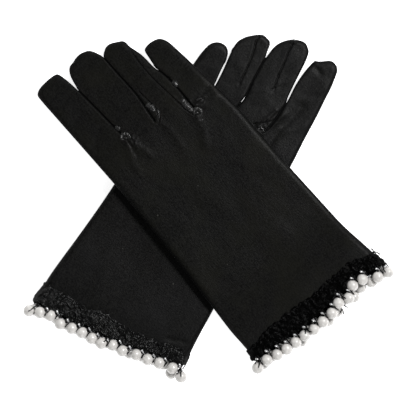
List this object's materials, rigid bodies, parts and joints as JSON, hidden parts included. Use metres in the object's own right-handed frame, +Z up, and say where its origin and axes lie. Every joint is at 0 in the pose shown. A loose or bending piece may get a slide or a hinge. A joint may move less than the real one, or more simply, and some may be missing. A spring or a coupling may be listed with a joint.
{
  "type": "pair of dress gloves",
  "caption": "Pair of short black satin dress gloves, laid flat and crossed, each with a gathered frill and a pearl bead fringe round the cuff.",
  "frame": {"origin": "on the table under the middle of the pair's bounding box", "axes": "+Z up off the table; +Y towards the fingertips of the pair; the right glove's fingers point to -X and +Y, the left glove's to +X and +Y, and the right glove lies on top"},
  "size_m": [0.2554, 0.243, 0.019],
  "materials": {
    "back_satin": "soft satin, black",
    "palm_satin": "soft satin, black",
    "side_satin": "soft satin, black",
    "thumb_satin": "soft satin, black",
    "frill_satin": "crinkled satin, black",
    "hem_tape": "matt tape, black",
    "pearl": "pearl lustre",
    "seed_bead": "clear, silver lined",
    "thread": "twisted thread, black"
  },
  "bodies": {
    "left_hand": {"left_hand_back": "back_satin", "left_hand_palm": "palm_satin", "left_index_side_seam": "side_satin", "left_little_side_seam": "side_satin", "left_index_middle_fourchette": "side_satin", "left_middle_ring_fourchette": "side_satin", "left_ring_little_fourchette": "side_satin", "left_frill": "frill_satin", "left_hem": "hem_tape"},
    "left_index_end": {"left_index_tip_back": "back_satin", "left_index_tip_palm": "palm_satin", "left_index_tip_side": "side_satin"},
    "left_middle_end": {"left_middle_tip_back": "back_satin", "left_middle_tip_palm": "palm_satin", "left_middle_tip_side": "side_satin"},
    "left_ring_end": {"left_ring_tip_back": "back_satin", "left_ring_tip_palm": "palm_satin", "left_ring_tip_side": "side_satin"},
    "left_little_end": {"left_little_tip_back": "back_satin", "left_little_tip_palm": "palm_satin", "left_little_tip_side": "side_satin"},
    "left_thumb": {"left_thumb": "thumb_satin"},
    "left_back_fringe": {"left_back_pearls": "pearl", "left_back_seed_beads": "seed_bead", "left_back_threads": "thread"},
    "left_palm_fringe": {"left_palm_pearls": "pearl", "left_palm_seed_beads": "seed_bead", "left_palm_threads": "thread"},
    "right_hand": {"right_hand_back": "back_satin", "right_hand_palm": "palm_satin", "right_index_side_seam": "side_satin", "right_little_side_seam": "side_satin", "right_index_middle_fourchette": "side_satin", "right_middle_ring_fourchette": "side_satin", "right_ring_little_fourchette": "side_satin", "right_frill": "frill_satin", "right_hem": "hem_tape"},
    "right_index_end": {"right_index_tip_back": "back_satin", "right_index_tip_palm": "palm_satin", "right_index_tip_side": "side_satin"},
    "right_middle_end": {"right_middle_tip_back": "back_satin", "right_middle_tip_palm": "palm_satin", "right_middle_tip_side": "side_satin"},
    "right_ring_end": {"right_ring_tip_back": "back_satin", "right_ring_tip_palm": "palm_satin", "right_ring_tip_side": "side_satin"},
    "right_little_end": {"right_little_tip_back": "back_satin", "right_little_tip_palm": "palm_satin", "right_little_tip_side": "side_satin"},
    "right_thumb": {"right_thumb": "thumb_satin"},
    "right_back_fringe": {"right_back_pearls": "pearl", "right_back_seed_beads": "seed_bead", "right_back_threads": "thread"},
    "right_palm_fringe": {"right_palm_pearls": "pearl", "right_palm_seed_beads": "seed_bead", "right_palm_threads": "thread"}
  },
  "joints": [
    {"name": "right_glove_lift", "type": "slide", "parent": "left_hand", "child": "right_hand", "axis": [0, 0, 1], "range_m": [0, 0.15]},
    {"name": "left_index_fold", "type": "hinge", "parent": "left_hand", "child": "left_index_end", "pos_m": [0.0616, 0.06829, 0.00709], "axis": [0.8763, -0.4818, 0], "range_deg": [0, 80]},
    {"name": "left_middle_fold", "type": "hinge", "parent": "left_hand", "child": "left_middle_end", "pos_m": [0.03939, 0.08278, 0.00699], "axis": [0.8763, -0.4818, 0], "range_deg": [0, 80]},
    {"name": "left_ring_fold", "type": "hinge", "parent": "left_hand", "child": "left_ring_end", "pos_m": [0.01647, 0.08854, 0.00731], "axis": [0.8763, -0.4818, 0], "range_deg": [0, 80]},
    {"name": "left_little_fold", "type": "hinge", "parent": "left_hand", "child": "left_little_end", "pos_m": [-0.00485, 0.09741, 0.00744], "axis": [0.8763, -0.4818, 0], "range_deg": [0, 80]},
    {"name": "left_thumb_swing", "type": "hinge", "parent": "left_hand", "child": "left_thumb", "pos_m": [0.01323, -0.01484, 0.0019], "axis": [0, 0, -1], "range_deg": [0, 70]},
    {"name": "left_back_fringe_swing", "type": "hinge", "parent": "left_hand", "child": "left_back_fringe", "pos_m": [-0.06916, -0.08919, 0.0125], "axis": [-0.915, 0.4035, 0], "range_deg": [0, 90]},
    {"name": "left_palm_fringe_swing", "type": "hinge", "parent": "left_hand", "child": "left_palm_fringe", "pos_m": [-0.06916, -0.08919, 0.0008], "axis": [0.915, -0.4035, 0], "range_deg": [0, 90]},
    {"name": "right_index_fold", "type": "hinge", "parent": "right_hand", "child": "right_index_end", "pos_m": [-0.08452, 0.05627, 0.013], "axis": [0.7649, 0.6441, 0], "range_deg": [0, 80]},
    {"name": "right_middle_fold", "type": "hinge", "parent": "right_hand", "child": "right_middle_end", "pos_m": [-0.06558, 0.07483, 0.01265], "axis": [0.7649, 0.6441, 0], "range_deg": [0, 80]},
    {"name": "right_ring_fold", "type": "hinge", "parent": "right_hand", "child": "right_ring_end", "pos_m": [-0.04423, 0.08496, 0.01371], "axis": [0.7649, 0.6441, 0], "range_deg": [0, 80]},
    {"name": "right_little_fold", "type": "hinge", "parent": "right_hand", "child": "right_little_end", "pos_m": [-0.02506, 0.09784, 0.01416], "axis": [0.7649, 0.6441, 0], "range_deg": [0, 80]},
    {"name": "right_thumb_swing", "type": "hinge", "parent": "right_hand", "child": "right_thumb", "pos_m": [-0.0208, -0.01577, 0.0114], "axis": [0, 0, 1], "range_deg": [0, 70]},
    {"name": "right_back_fringe_swing", "type": "hinge", "parent": "right_hand", "child": "right_back_fringe", "pos_m": [0.07503, -0.0722, 0.0125], "axis": [-0.7912, -0.6115, 0], "range_deg": [0, 90]},
    {"name": "right_palm_fringe_swing", "type": "hinge", "parent": "right_hand", "child": "right_palm_fringe", "pos_m": [0.07503, -0.0722, 0.0008], "axis": [0.7912, 0.6115, 0], "range_deg": [0, 90]}
  ]
}
